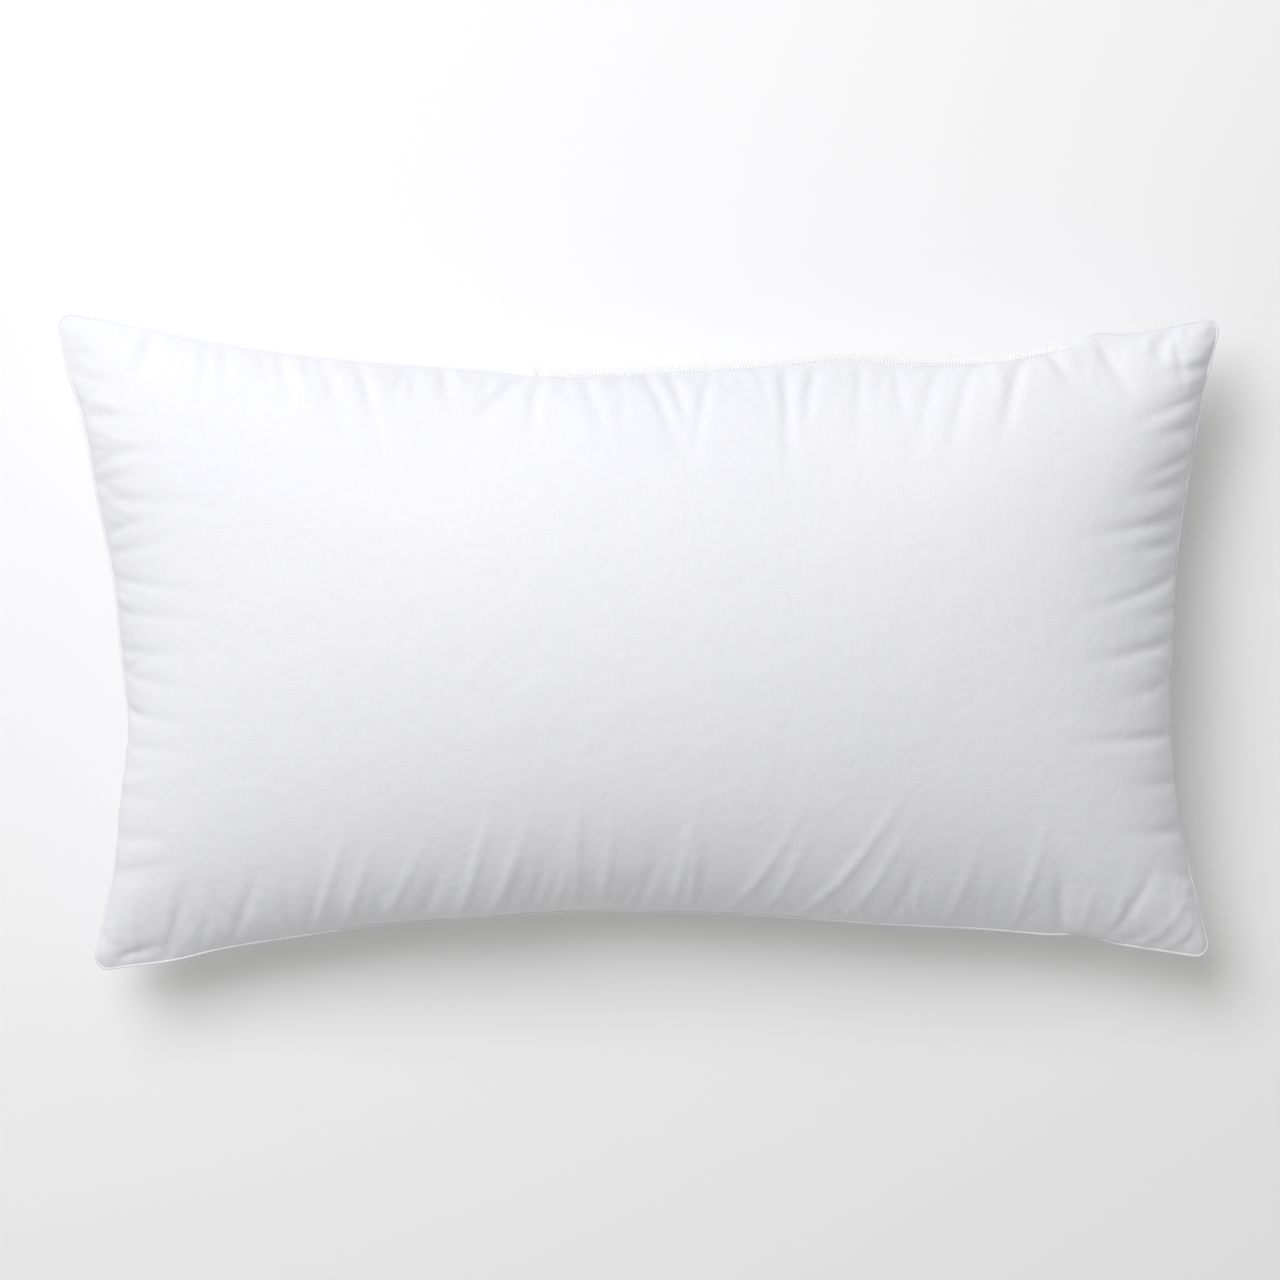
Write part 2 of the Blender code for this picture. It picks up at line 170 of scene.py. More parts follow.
# Creases of the front panel near its corners: start X and Y, run X and Y, half width, depth
CORNER_CREASES = (
    (-0.425, 0.200, 0.050, 0.030, 0.005, 0.0020), (-0.430, 0.180, 0.060, 0.020, 0.006, 0.0018),
    (-0.415, 0.225, 0.030, -0.030, 0.005, 0.0016), (-0.405, -0.236, 0.050, 0.012, 0.006, 0.0060),
    (-0.428, -0.215, 0.035, -0.016, 0.006, 0.0030), (-0.420, -0.180, 0.020, 0.040, 0.006, 0.0018),
    (0.430, 0.236, -0.046, -0.016, 0.006, 0.0042), (0.432, 0.214, -0.060, -0.022, 0.006, 0.0040),
    (0.400, 0.242, -0.012, -0.034, 0.006, 0.0020), (0.368, -0.240, 0.030, 0.034, 0.0042, -0.0016),
    (0.380, -0.239, 0.028, 0.034, 0.0042, 0.0018), (0.391, -0.238, 0.026, 0.034, 0.0042, -0.0016),
    (0.402, -0.237, 0.020, 0.034, 0.0042, 0.0018), (0.355, -0.240, 0.030, 0.026, 0.0050, 0.0020),
)

CORNER_SHARE = 0.6

# Share of each pleat's depth and length that is pressed in, and the back panel's share of the front's
PLEAT_SHARE = 1.1
PLEAT_REACH = 1.15
BACK_SHARE = 0.8
# How far inside each seam its pleats reach their depth: top, bottom, left, right
PLEAT_LEADS = (0.012, 0.032, 0.012, 0.014)
# Small pleats between the placed ones: how many along each long side and each end
SMALL_LONG = 70
SMALL_END = 44
# How far the noise moves each cloth point before the pleats go in
CRUMPLE = 0.00008

# The first cloth grid, then steps, pressure, bending stiffness and damping of each grid level
FIRST_GRID = (35, 20)
LEVELS = ((400, 0.01, 0.30, 0.97), (300, 0.02, 0.30, 0.97), (200, 0.04, 0.30, 0.97), (40, 0.07, 0.30, 0.97))
# The same for the finest grid once its pleats are in
PLEATED_LEVEL = (6, 0.03, 0.10, 0.90)
SHEAR = 0.5

# Index of each edge of an array (panel, column, row, xyz)
RIM = (np.s_[:, 0], np.s_[:, -1], np.s_[:, :, 0], np.s_[:, :, -1])
UPRIGHT = np.array([0.0, 0.0, 1.0])

# How the filling keeps off the cloth: rounds of smoothing, then its size next to the shell's
FILLING_ROUNDS = 6
FILLING_SHARE = (0.955, 0.93, 0.90)

# Spacing of the rim points that paths are made from, and how many lie along each end
RIM_STEP = 0.002
END_POINTS = 330
# Spacing of the points along the corded edge
EDGE_STEP = 0.0022
# How far the corded edge runs on past each end of the closing seam
EDGE_OVERLAP = 0.005
# The edge seam's threads: how far inside the seam line, and how far above or below it
SEAM_INSET = 0.0022
SEAM_SPREAD = 0.0006

# Overlock stitches: points in each, where they start past the seam, and how near the edge they turn over it
STITCH_POINTS = 10
STITCH_START = 0.0013
EDGE_TURN = 0.0006
# Rows of cloth in each closing ply, and columns over which its ends taper
PLY_ROWS = 4
PLY_TAPER = 4.0


def length_of(name, description, default):
    """A size in metres that the user can change."""
    return FloatProperty(name=name, description=description, default=default, unit="LENGTH")


def colour_of(name, description, default):
    """A colour that the user can change."""
    return FloatVectorProperty(
        name=name, description=description, default=default, subtype="COLOR", size=3
    )


class PillowSizes(bpy.types.PropertyGroup):
    """Sizes of the cloth, cords and stitches."""

    cut_length: length_of("Cut length", "Length of each cotton panel before stuffing", 0.850)
    cut_width: length_of("Cut width", "Width of each cotton panel before stuffing", 0.489)
    end_sag: length_of("End sag", "How far the middle of each end is drawn in", 0.036)
    side_sag: length_of("Side sag", "How far the middle of each side is drawn in", 0.0445)
    corner_radius: length_of("Corner radius", "Radius of the sewn corners", 0.014)
    cloth_thickness: length_of("Cloth thickness", "Thickness of the cotton", 0.0004)
    gather_width: length_of("Gather width", "Reach of one gather along the seam", 0.016)
    gather_share: FloatProperty(
        name="Gather share",
        description="Share of the cloth taken up where it is gathered",
        default=0.16,
        subtype="FACTOR",
    )
    closing_inset: length_of("Closing inset", "How far the closing seam is drawn in", 0.0045)
    closing_width: length_of("Closing width", "How far the closing plies stand out", 0.0062)
    stitch_pitch: length_of("Stitch pitch", "Distance between two overlock stitches", 0.0025)
    thread_radius: length_of("Thread radius", "Radius of the overlock thread", 0.00032)
    seam_thread_radius: length_of("Seam thread radius", "Radius of the edge seam's threads", 0.00012)
    piping_radius: length_of("Piping radius", "Radius of the corded edge", 0.00115)
    cord_radius: length_of("Cord radius", "Radius of the cord inside the corded edge", 0.0005)


class PillowColours(bpy.types.PropertyGroup):
    """Colours of the cloth, threads and filling."""

    cotton: colour_of("Cotton", "White of the panels", (0.86, 0.86, 0.885))
    cotton_shade: colour_of("Cotton shade", "Cooler white in patches", (0.81, 0.815, 0.855))
    # The closing plies are the panels' own cotton; this whiter colour is painted light that makes them show
    # brighter than the panels beside them.
    closing_ply_painted_light: colour_of("Closing ply", "White of the plies under the overlock threads", (0.95, 0.95, 0.96))
    # The weave darkens the cloth towards this tint as painted shade in the gaps between the yarns; the slub
    # streaks darken it as the yarn's own uneven tone.
    gap_shade_and_slub_tone: colour_of("Yarn gap", "Tint of the gaps between the yarns", (0.75, 0.75, 0.78))
    thread: colour_of("Thread", "White of the threads", (0.97, 0.97, 0.97))
    filling: colour_of("Filling", "White of the filling", (0.80, 0.79, 0.76))
    floor: colour_of("Floor", "Pale floor", (0.93, 0.93, 0.93))


def sizes():
    """The pillow's sizes, as the scene holds them."""
    return bpy.context.scene.pillow_sizes


def colours():
    """The pillow's colours, as the scene holds them."""
    return bpy.context.scene.pillow_colours


# ---------------------------------------------------------------- shapes


def rounded(x, y, half_length, half_width, radius):
    """Points past a corner's arc centres are drawn towards the nearer centre, on to rings round it."""
    past_x = np.abs(x) - (half_length - radius)
    past_y = np.abs(y) - (half_width - radius)
    in_corner = (past_x > 0) & (past_y > 0)
    reach = np.maximum(np.hypot(past_x, past_y), 1e-9)
    pull = np.where(in_corner, np.maximum(past_x, past_y) / reach, 1.0)
    x = np.where(in_corner, np.sign(x) * (half_length - radius + past_x * pull), x)
    y = np.where(in_corner, np.sign(y) * (half_width - radius + past_y * pull), y)
    return x, y


def smooth_step(share):
    """3 s^2 - 2 s^3, with s kept between 0 and 1."""
    share = np.clip(share, 0.0, 1.0)
    return share * share * (3.0 - 2.0 * share)


def corner_blend(u, v, draws):
    """The four corners' offsets blended across the grid: each weighs (1 +- u)(1 +- v) / 4."""
    weights = np.stack([(1 - u) * (1 - v), (1 - u) * (1 + v), (1 + u) * (1 - v), (1 + u) * (1 + v)]) / 4
    return np.tensordot(np.array(draws).T, weights, axes=1)


def waver(along, wavers):
    """Sum of bell curves exp(-t^2) along one side."""
    place, reach, distance = np.array(wavers).T
    return np.exp(-(((along[..., None] - place) / reach) ** 2)) @ distance


def outline(u, v):
    """Stuffed position of panel point (u, v): a rounded rectangle whose sides sag in as 1 - t^2.

    Each side wavers by its own bell curves, fading inwards as u^8 or v^4. The closing stretch of the far side
    is drawn in further as v^6, easing in over a short ramp at each end and growing from 0.4 to its whole
    depth between the middle and its right end.
    """
    s = sizes()
    flat_x = u * HALF_LENGTH
    flat_y = v * HALF_WIDTH
    x, y = rounded(flat_x, flat_y, HALF_LENGTH, HALF_WIDTH, s.corner_radius)
    along = x / HALF_LENGTH
    across = y / HALF_WIDTH
    ease_in = smooth_step((flat_x - (CLOSING_LOW[0] - CLOSING_RAMP_IN)) / CLOSING_RAMP_IN)
    ease_out = smooth_step(((CLOSING_HIGH[0] + CLOSING_RAMP_OUT) - flat_x) / CLOSING_RAMP_OUT)
    growth = 0.4 + 0.6 * smooth_step(flat_x / CLOSING_HIGH[0])
    dip = s.closing_inset * ease_in * growth * ease_out
    x = x - along * s.end_sag * (1.0 - across**2)
    y = y - across * s.side_sag * (1.0 - along**2) - dip * np.clip(v, 0.0, 1.0) ** 6
    high = np.clip(v, 0.0, 1.0) ** 4
    low = np.clip(-v, 0.0, 1.0) ** 4
    right = np.clip(u, 0.0, 1.0) ** 8
    left = np.clip(-u, 0.0, 1.0) ** 8
    draw_x, draw_y = corner_blend(u, v, CORNER_DRAWS)
    x = x + draw_x + waver(flat_y, RIGHT_WAVERS) * right - waver(flat_y, LEFT_WAVERS) * left
    y = y + draw_y + waver(flat_x, TOP_WAVERS) * high - waver(flat_x, BOTTOM_WAVERS) * low
    return x, y


def seam_wave(u, v):
    """Rise and fall of the seam: slow sines along each side, fading towards the corners as 1 - t^6.

    The corners droop by u^8 v^8.
    """
    along = sum(height * np.sin(over * u + up * v + phase) for height, over, up, phase in LENGTH_WAVES)
    across = sum(height * np.sin(over * u + up * v + phase) for height, over, up, phase in WIDTH_WAVES)
    return along * (1.0 - u**6) + across * (1.0 - v**6) - CORNER_DROOP * u**8 * v**8


def eased(count, half_cut, gathers):
    """Where evenly spaced cloth points meet the seam, from -1 to 1.

    The spacing is 1 minus a bell curve at each gather, summed along the side and scaled to fit it.
    """
    s = sizes()
    fine = np.linspace(-1.0, 1.0, 2401)
    places, strengths = np.array(gathers).T
    bells = np.exp(-(((fine[:, None] * half_cut - places) / s.gather_width) ** 2)) @ strengths
    spacing = 1.0 - s.gather_share * bells
    along = np.concatenate([[0.0], np.cumsum(spacing[1:] + spacing[:-1])])
    return np.interp(np.linspace(-1.0, 1.0, count), fine, 2.0 * along / along[-1] - 1.0)


def even_grid(columns, rows):
    """Evenly spaced u and v from -1 to 1 at every grid point."""
    return np.meshgrid(np.linspace(-1, 1, columns + 1), np.linspace(-1, 1, rows + 1), indexing="ij")


def cut_cloth(columns, rows):
    """Flat cut panel: the (x, y) of an even grid with rounded corners."""
    s = sizes()
    half_length = s.cut_length / 2
    half_width = s.cut_width / 2
    u, v = even_grid(columns, rows)
    x, y = rounded(u * half_length, v * half_width, half_length, half_width, s.corner_radius)
    return np.stack([x, y], axis=-1)


def sewn_grid(columns, rows):
    """Seam positions (u, v) of every cloth point, blended between opposite sides' gathers."""
    s = sizes()
    u, v = even_grid(columns, rows)
    top = eased(columns + 1, s.cut_length / 2, TOP_GATHERS)[:, None]
    bottom = eased(columns + 1, s.cut_length / 2, BOTTOM_GATHERS)[:, None]
    left = eased(rows + 1, s.cut_width / 2, LEFT_GATHERS)[None, :]
    right = eased(rows + 1, s.cut_width / 2, RIGHT_GATHERS)[None, :]
    return (top * (1 + v) + bottom * (1 - v)) / 2, (right * (1 + u) + left * (1 - u)) / 2


def domed(columns, rows):
    """Start shape of both panels: height is (1 - u^4)^0.6 (1 - |v|^2.4)^0.65 of the crown's."""
    u, v = sewn_grid(columns, rows)
    x, y = outline(u, v)
    full = np.clip(1 - u**4, 0, 1) ** 0.6 * np.clip(1 - np.abs(v) ** 2.4, 0, 1) ** 0.65
    seam = SEAM_HEIGHT + seam_wave(u, v)
    front = seam + (CROWN_HEIGHT - SEAM_HEIGHT) * full
    back = seam - SEAM_HEIGHT * full
    return np.stack([np.stack([x, y, front], axis=-1), np.stack([x, y, back], axis=-1)])


def doubled(cloth):
    """The same cloth on a grid twice as fine: new points by the four-point rule (9, 9, -1, -1) / 16."""
    for axis in (1, 2):
        line = np.moveaxis(cloth, axis, 0)
        middle = (line[1:] + line[:-1]) / 2
        middle[1:-1] = (9 * (line[1:-2] + line[2:-1]) - line[:-3] - line[3:]) / 16
        finer = np.empty((2 * len(line) - 1, *line.shape[1:]))
        finer[::2] = line
        finer[1::2] = middle
        cloth = np.moveaxis(finer, 0, axis)
    return cloth


# ---------------------------------------------------------------- cloth simulation


def threads_of(columns, rows, bend):
    """Pairs of grid points with their flat distance and stiffness.

    They are the warp, the weft, both diagonals at the shear stiffness, and every second point for bending.
    """
    flat = cut_cloth(columns, rows)
    found = []
    ways = ((1, 0, 1), (0, 1, 1), (1, 1, SHEAR), (1, -1, SHEAR), (2, 0, bend), (0, 2, bend))
    for over, up, stiffness in ways:
        near = (slice(None), slice(0, columns + 1 - over), slice(max(0, -up), rows + 1 - max(0, up)))
        far = (slice(None), slice(over, columns + 1), slice(max(0, up), rows + 1 + min(0, up)))
        length = np.linalg.norm(flat[far[1:]] - flat[near[1:]], axis=-1)
        found.append((near, far, length, stiffness))
    return found


def outward(cloth):
    """Area normals of both panels from central differences, the back panel's turned to face out."""
    along = np.gradient(cloth, axis=1)
    across = np.gradient(cloth, axis=2)
    normals = np.cross(along, across)
    normals[1] *= -1.0
    return normals


def rim_lift(columns, rows):
    """How far each panel bends over the cord at the seam: a bell curve of the distance to the nearest edge.

    Its height is 0.7 of the corded edge's radius, and 0.4 of that along the closing seam, which has no cord.
    """
    s = sizes()
    reach = 0.006
    ramp = 0.008
    u, v = even_grid(columns, rows)
    x, _ = outline(u, v)
    nearest = np.minimum((1 - np.abs(u)) * s.cut_length / 2, (1 - np.abs(v)) * s.cut_width / 2)
    ease_in = smooth_step((x - CLOSING_LOW[0] + ramp) / ramp)
    ease_out = smooth_step((CLOSING_HIGH[0] + ramp - x) / ramp)
    closing = ease_in * ease_out * (v > 0.5)
    return s.piping_radius * 0.7 * (1.0 - 0.6 * closing) * np.exp(-((nearest / reach) ** 2))


def settle(cloth, columns, rows, level):
    """Stuffs the sewn panels: each step moves points by their speed and the filling's push, then pulls every
    thread back to its cut length by the average of the corrections asked of each point.

    The seam is held, and nothing goes below the floor.
    """
    steps, pressure, bend, damping = level
    threads = threads_of(columns, rows, bend)
    free = np.zeros(cloth.shape[1:3] + (1,))
    free[1:-1, 1:-1] = 1.0
    weight = np.zeros(cloth.shape[:3] + (1,))
    for near, far, _, stiffness in threads:
        weight[near] += stiffness
        weight[far] += stiffness
    speed = np.zeros_like(cloth)
    for _ in range(steps):
        speed = (speed * damping + pressure * outward(cloth)) * free
        moved = cloth + speed
        change = np.zeros_like(cloth)
        for near, far, length, stiffness in threads:
            span = moved[far] - moved[near]
            distance = np.sqrt((span * span).sum(axis=-1))
            excess = distance - length
            pull = span * (0.5 * stiffness * excess / np.maximum(distance, 1e-9))[..., None]
            change[near] += pull
            change[far] -= pull
        moved += change / weight * free
        moved[..., 2] = np.maximum(moved[..., 2], sizes().cloth_thickness)
        speed = moved - cloth
        cloth = moved
    return cloth


def creased(flat, starts, runs, widths, depths, lead):
    """How deep each cloth point lies below the crown, summed over grooves that run from a start along a run.

    Across a groove the depth is a bell curve whose width grows from 0.4 to 0.95 of the given one along the
    run. It rises over the lead and the run's first eighth by the last three quarters of the smooth step, and
    fades out by the run's end.
    """
    length = np.linalg.norm(runs, axis=1)
    way = runs / length[:, None]
    from_start = flat[..., None, :] - starts
    travelled = ((from_start * way).sum(axis=-1) - lead) / length
    aside = from_start[..., 0] * way[:, 1] - from_start[..., 1] * way[:, 0]
    share = np.clip(travelled, 0.0, 1.0)
    bell = np.exp(-((aside / (widths * (0.4 + 0.55 * share))) ** 2))
    rise = smooth_step((travelled + lead / length) / (0.125 + lead / length) * 0.75 + 0.25)
    return (depths * bell * rise * (1.0 - smooth_step(travelled)) ** 1.2).sum(axis=-1)


def small_pleats(count, half_side, seed):
    """Evenly spaced small pleats, jittered by seeded noise in place, slant, length, half width and depth."""
    noise = np.random.default_rng(seed)
    place = np.linspace(-0.95, 0.95, count) * half_side + noise.normal(0.0, 0.3 * half_side / count, count)
    slant = noise.normal(0.0, 0.25, count)
    length = 0.020 + 0.050 * noise.random(count) ** 2
    width = 0.0036 + 0.0020 * noise.random(count)
    depth = 0.0022 * noise.random(count) ** 1.5 * noise.choice((-1.0, 1.0), count)
    return np.stack([place, slant, length, width, depth], axis=1)


def cloth_place(place, half_stuffed, half_cut, gathers):
    """Where along a side of the cut cloth lies the point sewn at a stuffed place: the easing undone."""
    count = 601
    met = eased(count, half_cut, gathers)
    return np.interp(place / half_stuffed, met, np.linspace(-1.0, 1.0, count)) * half_cut


def pleat_depths(flat, mirror):
    """Depth of every pleat and crease at the flat points; the back panel's are the front's, mirrored in X."""
    s = sizes()
    half_length = s.cut_length / 2
    half_width = s.cut_width / 2
    flat = flat * (mirror, 1.0)
    depth = np.zeros(flat.shape[:2])
    sides = (
        (TOP_PLEATS, 3, TOP_GATHERS, (0.0, half_width), (1.0, 0.0), (0.0, -1.0)),
        (BOTTOM_PLEATS, 4, BOTTOM_GATHERS, (0.0, -half_width), (1.0, 0.0), (0.0, 1.0)),
        (LEFT_PLEATS, 5, LEFT_GATHERS, (-half_length, 0.0), (0.0, 1.0), (1.0, 0.0)),
        (RIGHT_PLEATS, 6, RIGHT_GATHERS, (half_length, 0.0), (0.0, 1.0), (-1.0, 0.0)),
    )
    for (placed, seed, gathers, start, along, inward), lead in zip(sides, PLEAT_LEADS):
        along = np.array(along)
        inward = np.array(inward)
        long_side = (half_length, HALF_LENGTH, SMALL_LONG)
        end = (half_width, HALF_WIDTH, SMALL_END)
        half_cut, half_stuffed, count = long_side if along[0] else end
        pleats = np.concatenate([np.array(placed), small_pleats(count, half_stuffed, seed)])
        place, slant, length, width, deep = pleats.T
        starts = np.array(start) + cloth_place(place, half_stuffed, half_cut, gathers)[:, None] * along
        runs = PLEAT_REACH * length[:, None] * (inward + slant[:, None] * along)
        depth += creased(flat, starts, runs, width, deep, lead)
    corner = np.array(CORNER_CREASES)
    return depth + CORNER_SHARE * creased(
        flat, corner[:, 0:2], corner[:, 2:4], corner[:, 4], corner[:, 5], 0.0
    )


def pleated(cloth, columns, rows):
    """The cloth with its pleats pressed in along its normals, but for the seam."""
    flat = cut_cloth(columns, rows)
    normals = outward(cloth)
    normals /= np.maximum(np.linalg.norm(normals, axis=-1, keepdims=True), 1e-12)
    depth = np.stack([pleat_depths(flat, 1.0), BACK_SHARE * pleat_depths(flat, -1.0)])
    for edge in RIM:
        depth[edge] = 0.0
    return cloth - PLEAT_SHARE * depth[..., None] * normals


@functools.cache
def stuffed():
    """Both stuffed panels as one array (panel, column, row, xyz), worked out once."""
    columns, rows = FIRST_GRID
    cloth = domed(columns, rows)
    for level in LEVELS:
        if level is not LEVELS[0]:
            cloth = doubled(cloth)
            columns *= 2
            rows *= 2
        held = domed(columns, rows)
        for edge in RIM:
            cloth[edge] = held[edge]
        cloth = settle(cloth, columns, rows, level)
    noise = np.random.default_rng(11)
    inner = cloth[:, 1:-1, 1:-1, 2]
    inner += noise.normal(0.0, CRUMPLE, inner.shape)
    cloth = pleated(cloth, columns, rows)
    cloth = settle(cloth, columns, rows, PLEATED_LEVEL)
    lift = rim_lift(columns, rows)
    cloth[..., 2] += np.stack([lift, -lift])
    return cloth


# ---------------------------------------------------------------- mesh helpers


def grid_quads(columns, rows, flip=False):
    """Quads of a grid of points numbered row by row."""
    index = np.arange(columns * rows).reshape(columns, rows)
    quads = np.stack([index[:-1, :-1], index[1:, :-1], index[1:, 1:], index[:-1, 1:]], axis=-1).reshape(-1, 4)
    return quads[:, ::-1] if flip else quads


def make_piece(name, points, faces, material, cut_places=None):
    """A mesh object that rides on the pillow, smooth but for its open edges.

    The cut places, if given, become a UV map.
    """
    mesh = bpy.data.meshes.new(name)
    mesh.from_pydata(points.tolist(), [], faces)
    if cut_places is not None:
        corner_points = np.empty(len(mesh.loops), np.int32)
        mesh.loops.foreach_get("vertex_index", corner_points)
        mesh.uv_layers.new(name="cut").data.foreach_set("uv", cut_places[corner_points].ravel())
    mesh.shade_smooth()
    mesh.update()
    corner_edges = np.empty(len(mesh.loops), np.int32)
    mesh.loops.foreach_get("edge_index", corner_edges)
    open_edges = np.bincount(corner_edges, minlength=len(mesh.edges)) == 1
    mesh.attributes.new("sharp_edge", "BOOLEAN", "EDGE").data.foreach_set("value", open_edges)
    mesh.materials.append(material)
    piece = bpy.data.objects.new(name, mesh)
    bpy.context.scene.collection.objects.link(piece)
    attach(piece, "root")
    return piece


def make_tube(name, path, radius, sides, reference, material):
    """A closed tube: a circle carried along `path`, square to it, with a fan of faces over each end.

    Its first axis is the tangent crossed with `reference`, and its second the tangent crossed with that.
    """
    tangent = np.gradient(path, axis=0)
    tangent /= np.linalg.norm(tangent, axis=1, keepdims=True)
    first = np.cross(tangent, reference)
    first /= np.linalg.norm(first, axis=1, keepdims=True)
    second = np.cross(tangent, first)
    angle = np.linspace(0.0, 2 * math.pi, sides, endpoint=False)
    ring = np.cos(angle)[None, :, None] * first[:, None] + np.sin(angle)[None, :, None] * second[:, None]
    count = len(path)
    points = np.concatenate([(path[:, None] + radius * ring).reshape(-1, 3), path[[0, -1]]])
    travelled = np.concatenate([[0.0], np.cumsum(np.linalg.norm(np.diff(path, axis=0), axis=1))])
    round_it = np.stack([np.repeat(travelled, sides), np.tile(angle * radius, count)], axis=-1)
    cut_places = np.concatenate([round_it, round_it[[0, -1]]])
    index = np.arange(count * sides).reshape(count, sides)
    after = np.roll(index, -1, axis=1)
    wall = np.stack([index[:-1], after[:-1], after[1:], index[1:]], axis=-1).reshape(-1, 4)
    start = np.stack([np.full(sides, count * sides), after[0], index[0]], axis=-1)
    end = np.stack([np.full(sides, count * sides + 1), index[-1], after[-1]], axis=-1)
    faces = wall.tolist() + start.tolist() + end.tolist()
    return make_piece(name, points, faces, material, cut_places)


def seam_points(u, v):
    """Seam line in space at rim positions (u, v)."""
    x, y = outline(u, v)
    return np.stack([x, y, SEAM_HEIGHT + seam_wave(u, v)], axis=-1)


def corded_positions():
    """Rim positions (u, v) round the corded seam, from the closing seam's right end to its left end.

    They lie evenly along each side and end, with one on each corner.
    """
    start = (CLOSING_HIGH[0] - EDGE_OVERLAP) / HALF_LENGTH
    end = (CLOSING_LOW[0] + EDGE_OVERLAP) / HALF_LENGTH
    corners = ((start, 1.0), (1.0, 1.0), (1.0, -1.0), (-1.0, -1.0), (-1.0, 1.0), (end, 1.0))
    line = [corners[:1]]
    for near, far in zip(corners, corners[1:]):
        along = abs(far[0] - near[0]) * HALF_LENGTH
        count = round(along / RIM_STEP) if along else END_POINTS
        line.append(np.linspace(near, far, count)[1:])
    return np.concatenate(line).T


def even_path(points, step):
    """The same path with its points a fixed distance apart."""
    travelled = np.concatenate([[0.0], np.cumsum(np.linalg.norm(np.diff(points, axis=0), axis=1))])
    keep = np.concatenate([[True], np.diff(travelled) > 1e-7])
    at = np.linspace(0.0, travelled[-1], round(travelled[-1] / step))
    return np.stack([np.interp(at, travelled[keep], points[keep, k]) for k in range(3)], axis=-1)


def outset_of(path):
    """Level directions away from the pillow: the path's tangent crossed with the upright, turned outwards."""
    tangent = np.gradient(path, axis=0)
    side = np.cross(tangent, UPRIGHT)
    side /= np.linalg.norm(side, axis=1, keepdims=True)
    facing = np.sign((side * path * (1.0, 1.0, 0.0)).sum())
    return side * facing


# ---------------------------------------------------------------- materials


class Nodes:
    """Short calls to add and link a material's nodes."""

    def __init__(self, name):
        self.material = bpy.data.materials.new(name)
        self.material.use_nodes = True
        self.tree = self.material.node_tree
        self.shader = self.tree.nodes["Principled BSDF"]

    def add(self, kind, inputs=None, **settings):
        """A node with its settings, and its inputs set or linked."""
        node = self.tree.nodes.new(kind)
        for key, value in settings.items():
            setattr(node, key, value)
        for key, value in (inputs or {}).items():
            self.put(node, key, value)
        return node

    def put(self, node, key, value):
        """Sets one input, or links it where the value is a socket."""
        if isinstance(value, bpy.types.NodeSocket):
            self.tree.links.new(value, node.inputs[key])
        else:
            node.inputs[key].default_value = value

    def math(self, operation, a, b=0.0):
        """The result of a Math node."""
        return self.add("ShaderNodeMath", {0: a, 1: b}, operation=operation).outputs[0]

    def blend(self, share, first, second, way="MIX"):
        """The colour of a Mix node between two colours, either of which may be linked."""
        node = self.add("ShaderNodeMix", {0: share}, data_type="RGBA", blend_type=way)
        for key, colour in ((6, first), (7, second)):
            self.put(node, key, colour if isinstance(colour, bpy.types.NodeSocket) else (*colour, 1.0))
        return node.outputs[2]

    def scaled(self, vector, x, y, z=1.0):
        """A vector stretched by a Mapping node."""
        return self.add("ShaderNodeMapping", {"Vector": vector, "Scale": (x, y, z)}).outputs[0]

    def noise(self, vector, scale, detail=2.0, roughness=0.5):
        """The value of a Noise Texture."""
        inputs = {"Vector": vector, "Scale": scale, "Detail": detail, "Roughness": roughness}
        return self.add("ShaderNodeTexNoise", inputs).outputs["Fac"]

    def bump(self, height, strength, distance, normal=None):
        """The normal of a Bump node."""
        inputs = {"Height": height, "Strength": strength, "Distance": distance}
        if normal is not None:
            inputs["Normal"] = normal
        return self.add("ShaderNodeBump", inputs).outputs[0]


